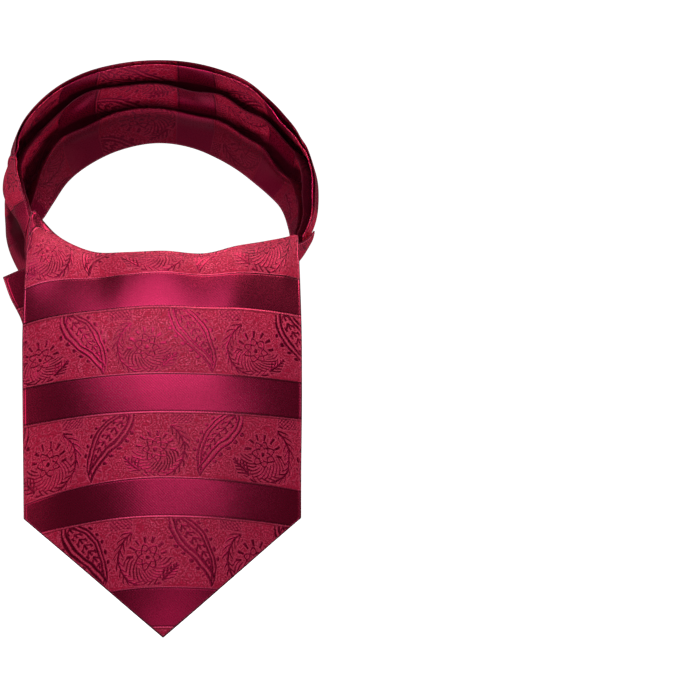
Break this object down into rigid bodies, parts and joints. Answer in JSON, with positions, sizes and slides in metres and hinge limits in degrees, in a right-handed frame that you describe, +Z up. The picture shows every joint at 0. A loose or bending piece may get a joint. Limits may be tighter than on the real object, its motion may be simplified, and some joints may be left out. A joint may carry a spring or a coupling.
{
  "type": "silk cravat",
  "caption": "Tied day cravat: a pleated silk neckband, open where the neck goes through, and two pointed blades hanging in front.",
  "frame": {"origin": "middle of the neck loop, where the wearer's neck goes through", "axes": "+Z up as worn, the front of the cravat faces -Y, +X is at its right as seen from the front"},
  "size_m": [0.1772, 0.2571, 0.2677],
  "materials": {
    "neckband_silk": "wine red silk, satin and figured bands",
    "blade_silk": "wine red silk, satin stripes and paisley damask"
  },
  "bodies": {
    "root": {"neckband_pleats": "neckband_silk", "left_pleats": "neckband_silk", "front_wrap": "neckband_silk", "front_blade": "blade_silk", "under_blade": "blade_silk"}
  },
  "joints": []
}
